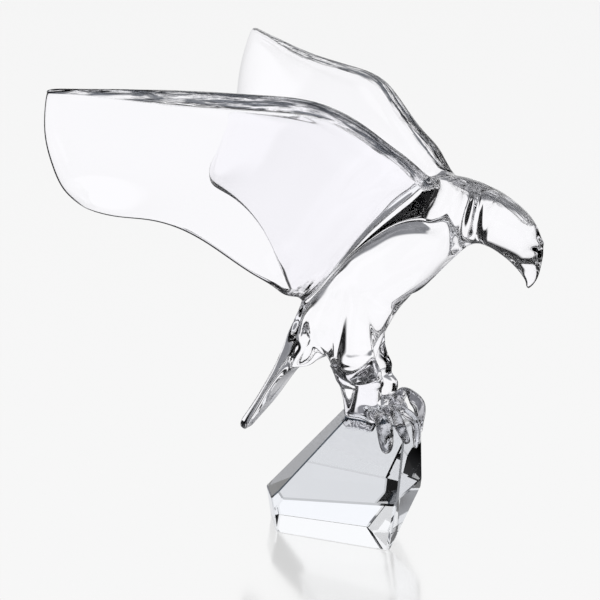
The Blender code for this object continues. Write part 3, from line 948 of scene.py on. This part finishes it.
def fill_inputs(tree: NodeTree, node: Node, inputs: Inputs) -> None:
    """Fills a node's inputs, each by name or number.

    Args:
        tree: the tree that holds the node.
        node: the node.
        inputs: for each input, an output to link, a number, a vector or an RGB colour.
    """
    for key, value in inputs.items():
        socket = node.inputs[key]
        if isinstance(value, NodeSocket):
            tree.links.new(value, socket)
        else:
            socket.default_value = (*value, 1) if socket.type == "RGBA" else value


def add_node(tree: NodeTree, kind: str, inputs: Inputs) -> Node:
    """Adds a shader node of a kind, fills its inputs and returns it."""
    node = tree.nodes.new("ShaderNode" + kind)
    fill_inputs(tree, node, inputs)
    return node


def group_node(tree: NodeTree, group: NodeTree, inputs: Inputs) -> Node:
    """Adds a node for a shader group, fills its inputs and returns it."""
    node = add_node(tree, "Group", {})
    node.node_tree = group
    fill_inputs(tree, node, inputs)
    return node


def math_node(tree: NodeTree, operation: str, first: object, second: object) -> NodeSocket:
    """Adds a Math node and returns its output."""
    node = add_node(tree, "Math", {0: first, 1: second})
    node.operation = operation
    return node.outputs["Value"]


def mix_node(tree: NodeTree, factor: NodeSocket, first: object, second: object) -> NodeSocket:
    """Adds a colour Mix node and returns its output."""
    node = tree.nodes.new("ShaderNodeMix")
    node.data_type = "RGBA"
    fill_inputs(tree, node, {0: factor, 6: first, 7: second})
    return node.outputs[2]


def smooth_range(tree: NodeTree, value: NodeSocket, low: float,
                 high: float, at_low: float = 0.0, at_high: float = 1.0) -> NodeSocket:
    """Adds a Map Range node that eases from at_low to at_high, and returns its output."""
    node = add_node(tree, "MapRange", {"Value": value, "From Min": low, "From Max": high,
                                       "To Min": at_low, "To Max": at_high})
    node.interpolation_type = "SMOOTHSTEP"
    return node.outputs["Result"]


def ramp_node(tree: NodeTree, place: NodeSocket,
              first: tuple[float, ...], stops: list) -> NodeSocket:
    """Adds a ramp from a first colour through stops to white, and returns its output."""
    ramp = add_node(tree, "ValToRGB", {"Fac": place})
    elements = ramp.color_ramp.elements
    elements[0].color, elements[1].color = (*first, 1), (*WHITE, 1)
    for position, colour in stops:
        elements.new(position).color = (*colour, 1)
    return ramp.outputs["Color"]


def read_attribute(tree: NodeTree, name: str, output: str) -> NodeSocket:
    """Reads what the mesh keeps under a name."""
    node = add_node(tree, "Attribute", {})
    node.attribute_name = name
    return node.outputs[output]


def start_group(name: str, *outputs: str) -> tuple[NodeTree, Node]:
    """Starts a shader group that puts out numbers, and returns it with its output node."""
    tree = bpy.data.node_groups.new(name, "ShaderNodeTree")
    for output in outputs:
        tree.interface.new_socket(output, in_out="OUTPUT", socket_type="NodeSocketFloat")
    return tree, tree.nodes.new("NodeGroupOutput")


def make_streaks() -> NodeTree:
    """Builds the group for streaks left where hot glass was drawn out: a bump height, and the
    mask of their dark lines of painted shade.

    It reads the mesh's flow, millimetres along and across a line, and lets noise run
    eleven times longer along it than across.
    """
    tree, end = start_group("drawn_streaks", "Height", "Mask")
    flow = read_attribute(tree, "flow", "Vector")
    strength = read_attribute(tree, "streak_and_shade", "Fac")
    stretch = add_node(tree, "VectorMath", {0: flow, 1: STREAK_STRETCH})
    stretch.operation = "MULTIPLY"
    noise = add_node(tree, "TexNoise", {"Vector": stretch.outputs["Vector"], **STREAK_NOISE})
    waves = noise.outputs["Fac"]
    lines = smooth_range(tree, waves, *STREAK_LINES)
    fill_inputs(tree, end, {"Height": math_node(tree, "MULTIPLY", waves, strength),
                            "Mask": math_node(tree, "MULTIPLY", lines, strength)})
    return tree


@dataclass(frozen=True)
class CrystalFinish:
    """Clear lead crystal: how it bends and tints light, and how dark the painted shade on its
    facets, rims and streak lines is.
    """

    name: str
    tint: Colour
    # colour of the painted shade on the block's facets and edge flats
    painted_shade: Colour = (0.003, 0.005, 0.008)
    ior: float = 1.54
    roughness: float = 0.0
    specular_tint: Colour = (0.3, 0.3, 0.32)
    # painted shade on rims seen edge-on, eased in from facing rim_start to rim_end
    rim_painted_shade: Colour = (0.07, 0.07, 0.08)
    rim_start: float = 0.0
    rim_end: float = 0.45
    # the streaks' bump depth, and the colour of their painted shade lines
    streak_depth: float = 1.6
    streak_painted_shade: Colour = (0.04, 0.045, 0.055)

    def make(self, streaks: NodeTree) -> Material:
        """Builds the finish: painted shade darkens facets, rims seen edge-on and streak lines,
        and streaks bend the light.

        Args:
            streaks: the shader group that gives the streaks' height and the mask of their painted
                shade.

        Returns:
            The material.
        """
        finish = bpy.data.materials.new(self.name)
        finish.use_nodes = True
        tree = finish.node_tree
        # painted shade: rims that the camera sees edge-on are darkened in the base colour
        facing, path = add_node(tree, "LayerWeight", {}), add_node(tree, "LightPath", {})
        edge = smooth_range(tree, facing.outputs["Facing"], 1 - self.rim_end, 1 - self.rim_start)
        rim = math_node(tree, "MULTIPLY", edge, path.outputs["Is Camera Ray"])
        grain = group_node(tree, streaks, {})
        # painted shade: each facet and edge flat darkens the tint by its own shade
        shade = read_attribute(tree, "shade", "Fac")
        glass = mix_node(tree, shade, self.tint, self.painted_shade)
        # painted shade: the streaks' dark lines darken the glass's colour
        drawn = mix_node(tree, grain.outputs["Mask"], glass, self.streak_painted_shade)
        bump = add_node(tree, "Bump", {"Strength": 1.0, "Distance": self.streak_depth * MM,
                                       "Height": grain.outputs["Height"]})
        fill_inputs(tree, tree.nodes["Principled BSDF"], {
            "Base Color": mix_node(tree, rim, drawn, self.rim_painted_shade),
            "IOR": self.ior, "Metallic": 0.0, "Roughness": self.roughness,
            "Transmission Weight": 1.0, "Specular Tint": self.specular_tint,
            "Normal": bump.outputs["Normal"]})
        return finish


@dataclass(frozen=True)
class Surround:
    """How bright the surround is where the glass sees it, and where the camera does."""

    backdrop: float = 0.932
    pale: float = 1.0
    dark: float = 0.012
    band: tuple[float, float] = (0.40, 0.54)
    dark_sectors: tuple[tuple[float, float], ...] = (
        (-147, -122), (-99, -77), (33, 61), (79, 107), (125, 150))
    sector_fade: float = 5.0
    sectors_from: float = 0.09
    sectors_full: float = 0.22
    near_light: Colour = (0.97, 0.98, 1.0)
    ring_light: Colour = (0.25, 0.255, 0.27)
    ring: tuple[float, float, float, float] = (0.085, 0.09, 0.21, 0.25)


def make_bars(right: np.ndarray, surround: Surround) -> NodeTree:
    """Builds the group that darkens upright sectors of the surround.

    For a direction d it reads the turn atan2(d . right, d . ahead) and darkens the
    sectors, but not near the figure's foot.

    Args:
        right: the horizontal direction that the sectors are turned from.
        surround: the sectors and how dark they are.

    Returns:
        The group, which puts out the light's share and the distance from the origin.
    """
    tree, end = start_group("dark_sectors", "Light", "Distance")
    tree.interface.new_socket("Direction", in_out="INPUT", socket_type="NodeSocketVector")
    direction = tree.nodes.new("NodeGroupInput").outputs["Direction"]
    shares = []
    for axis in (right, np.array((-right[1], right[0], 0.0))):
        share = add_node(tree, "VectorMath", {0: direction, 1: tuple(axis)})
        share.operation = "DOT_PRODUCT"
        shares.append(share.outputs["Value"])
    turn = math_node(tree, "MULTIPLY", math_node(tree, "ARCTAN2", *shares), 0.5 / math.pi)
    fade, dim = surround.sector_fade, (surround.dark,) * 3
    stops = [(0.5 + place / 360, colour) for low, high in surround.dark_sectors
             for place, colour in ((low - fade, WHITE), (low, dim), (high, dim),
                                   (high + fade, WHITE))]
    sectors = ramp_node(tree, math_node(tree, "ADD", turn, 0.5), WHITE, stops)
    reach = add_node(tree, "VectorMath", {0: direction})
    reach.operation = "LENGTH"
    distance = reach.outputs["Value"]
    far = smooth_range(tree, distance, surround.sectors_from, surround.sectors_full)
    blend = add_node(tree, "Mix", {"Factor": far, "A": 1.0, "B": sectors})
    fill_inputs(tree, end, {"Light": blend.outputs["Result"], "Distance": distance})
    return tree


@dataclass
class Studio:
    """Pale glossy floor, soft surround with dark sectors and a dark top, and the camera."""

    azimuth: float = 25.0
    elevation: float = 13.5
    distance: float = 1500.0
    target: Point = (-28.0, 0.0, 115.5)
    millimetres_per_pixel: float = 0.5
    sensor_width: float = 36.0
    sight: float = 100.0
    floor_radius: float = 60000.0
    floor_rings: int = 12
    floor_sides: int = 64
    floor_gap: float = 0.1
    floor_colour: Colour = (0.01, 0.01, 0.01)
    floor_roughness: float = 0.13
    floor_ior: float = 2.8
    floor_share: float = 0.955
    surround: Surround = Surround()

    def back(self) -> np.ndarray:
        """Returns the direction from the target to the camera."""
        turn, rise = math.radians(self.azimuth), math.radians(self.elevation)
        return np.array((math.sin(turn) * math.cos(rise), -math.cos(turn) * math.cos(rise),
                         math.sin(rise)))

    def right(self) -> np.ndarray:
        """Returns the camera's right-hand direction."""
        turn = math.radians(self.azimuth)
        return np.array((math.cos(turn), math.sin(turn), 0.0))

    def place_camera(self) -> None:
        """Places the camera at the photograph's angle, distance and frame."""
        lens = bpy.data.cameras.new("camera")
        lens.sensor_width = self.sensor_width
        width = self.millimetres_per_pixel * PHOTO_WIDTH
        lens.lens = self.sensor_width * self.distance / width
        lens.clip_end = self.sight
        camera = hold_object("camera", lens)
        camera.location = Vector(self.target) * MM + Vector(self.back()) * self.distance * MM
        camera.rotation_euler = Vector(self.back()).to_track_quat("Z", "Y").to_euler()
        bpy.context.scene.camera = camera

    def lay_floor(self, bars: NodeTree) -> None:
        """Lays the floor: rings round the origin, each wider than the one before."""
        sides = self.floor_sides
        turns = np.linspace(0, 2 * np.pi, sides + 1)[:-1]
        rings = self.floor_radius * np.linspace(0, 1, self.floor_rings + 1)[1:] ** 3
        disc = rings[:, None, None] * np.column_stack((np.cos(turns), np.sin(turns)))
        points = np.vstack(((0, 0), disc.reshape(-1, 2)))
        points = np.column_stack((points, np.full(len(points), -self.floor_gap))) * MM
        index = 1 + np.arange(rings.size * sides).reshape(rings.size, sides)
        quads = np.stack((index[:-1], index[1:], np.roll(index[1:], -1, 1),
                          np.roll(index[:-1], -1, 1)), -1).reshape(-1, 4)
        fan = np.column_stack((np.zeros(sides, int), index[0], np.roll(index[0], -1)))
        mesh = bpy.data.meshes.new("floor")
        mesh.from_pydata(points.tolist(), [], fan.tolist() + quads.tolist())
        floor = hold_object("floor", mesh)
        mesh.materials.append(self.floor_finish(bars))

    def floor_finish(self, bars: NodeTree) -> Material:
        """Lit white floor with a gloss: its own light fills up what the gloss leaves.

        To the camera it gives backdrop - fresnel x floor_share and mirrors the rest, so it
        looks even, and is darker only where it mirrors the figure. The glass sees a lamp
        instead, with the dark sectors and a grey ring round the block.

        Args:
            bars: the shader group of the dark sectors.

        Returns:
            The material.
        """
        surround = self.surround
        finish = bpy.data.materials.new("pale_floor")
        finish.use_nodes = True
        tree = finish.node_tree
        shader = tree.nodes["Principled BSDF"]
        gloss = add_node(tree, "Fresnel", {"IOR": self.floor_ior})
        mirrored = math_node(tree, "MULTIPLY", gloss.outputs["Fac"], self.floor_share)
        own = math_node(tree, "SUBTRACT", surround.backdrop, mirrored)
        fill_inputs(tree, shader, {
            "Base Color": self.floor_colour, "Roughness": self.floor_roughness,
            "IOR": self.floor_ior, "Emission Color": WHITE, "Emission Strength": own})
        place = add_node(tree, "TexCoord", {})
        sectors = group_node(tree, bars, {"Direction": place.outputs["Object"]})
        ring = zip(surround.ring, (surround.near_light, surround.ring_light,
                                   surround.ring_light, WHITE))
        lamp = add_node(tree, "Emission", {
            "Strength": math_node(tree, "MULTIPLY", sectors.outputs["Light"], surround.pale),
            "Color": ramp_node(tree, sectors.outputs["Distance"], surround.near_light,
                               list(ring))})
        path = add_node(tree, "LightPath", {})
        choice = add_node(tree, "MixShader", {
            "Fac": path.outputs["Is Camera Ray"], 1: lamp.outputs["Emission"],
            2: shader.outputs["BSDF"]})
        fill_inputs(tree, tree.nodes["Material Output"], {"Surface": choice.outputs["Shader"]})
        return finish

    def light_surround(self, bars: NodeTree) -> None:
        """Lights the surround: pale to a low height, dark sectors, then dark to the top.

        Only sharp rays, those that clear glass bends or mirrors, see that. The camera and
        the floor's soft gloss see the even backdrop.
        """
        surround = self.surround
        world = bpy.data.worlds.new("surround")
        world.cycles.sampling_method = "NONE"
        bpy.context.scene.world = world
        world.use_nodes = True
        tree = world.node_tree
        place, path = add_node(tree, "TexCoord", {}), add_node(tree, "LightPath", {})
        direction = place.outputs["Generated"]
        sectors = group_node(tree, bars, {"Direction": direction})
        split = add_node(tree, "SeparateXYZ", {"Vector": direction})
        fade = smooth_range(tree, split.outputs["Z"], *surround.band, surround.pale,
                            surround.dark)
        unseen = math_node(tree, "MULTIPLY", sectors.outputs["Light"], fade)
        choice = add_node(tree, "Mix", {"Factor": path.outputs["Is Singular Ray"],
                                        "A": surround.backdrop, "B": unseen})
        fill_inputs(tree, tree.nodes["Background"],
                    {"Strength": choice.outputs["Result"], "Color": WHITE})


def main() -> None:
    """Builds the block, the eagle and the studio, and ties the pieces to the frame."""
    logging.basicConfig(level=logging.INFO, format="%(message)s")
    bpy.context.scene.view_settings.view_transform = "Standard"
    plan = Block()
    block = plan.build()
    streaks = make_streaks()
    block_finish = CrystalFinish("block_crystal", (0.965, 0.975, 1.0), ior=1.47)
    block.data.materials.append(block_finish.make(streaks))
    eagle = Eagle(plan).build()
    eagle.data.materials.clear()
    eagle_finish = CrystalFinish("eagle_crystal", (0.98, 0.975, 1.0))
    eagle.data.materials.append(eagle_finish.make(streaks))
    for piece, node, slot in ((block, "block", "crystal_block_glass"),
                              (eagle, "eagle", "crystal_eagle_glass")):
        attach(piece, "root")
        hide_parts(node)
        LOG.info("%s: %d faces", piece.name, len(piece.data.polygons))
    studio = Studio()
    bars = make_bars(studio.right(), studio.surround)
    studio.lay_floor(bars)
    studio.light_surround(bars)
    studio.place_camera()


if __name__ == "__main__":
    main()
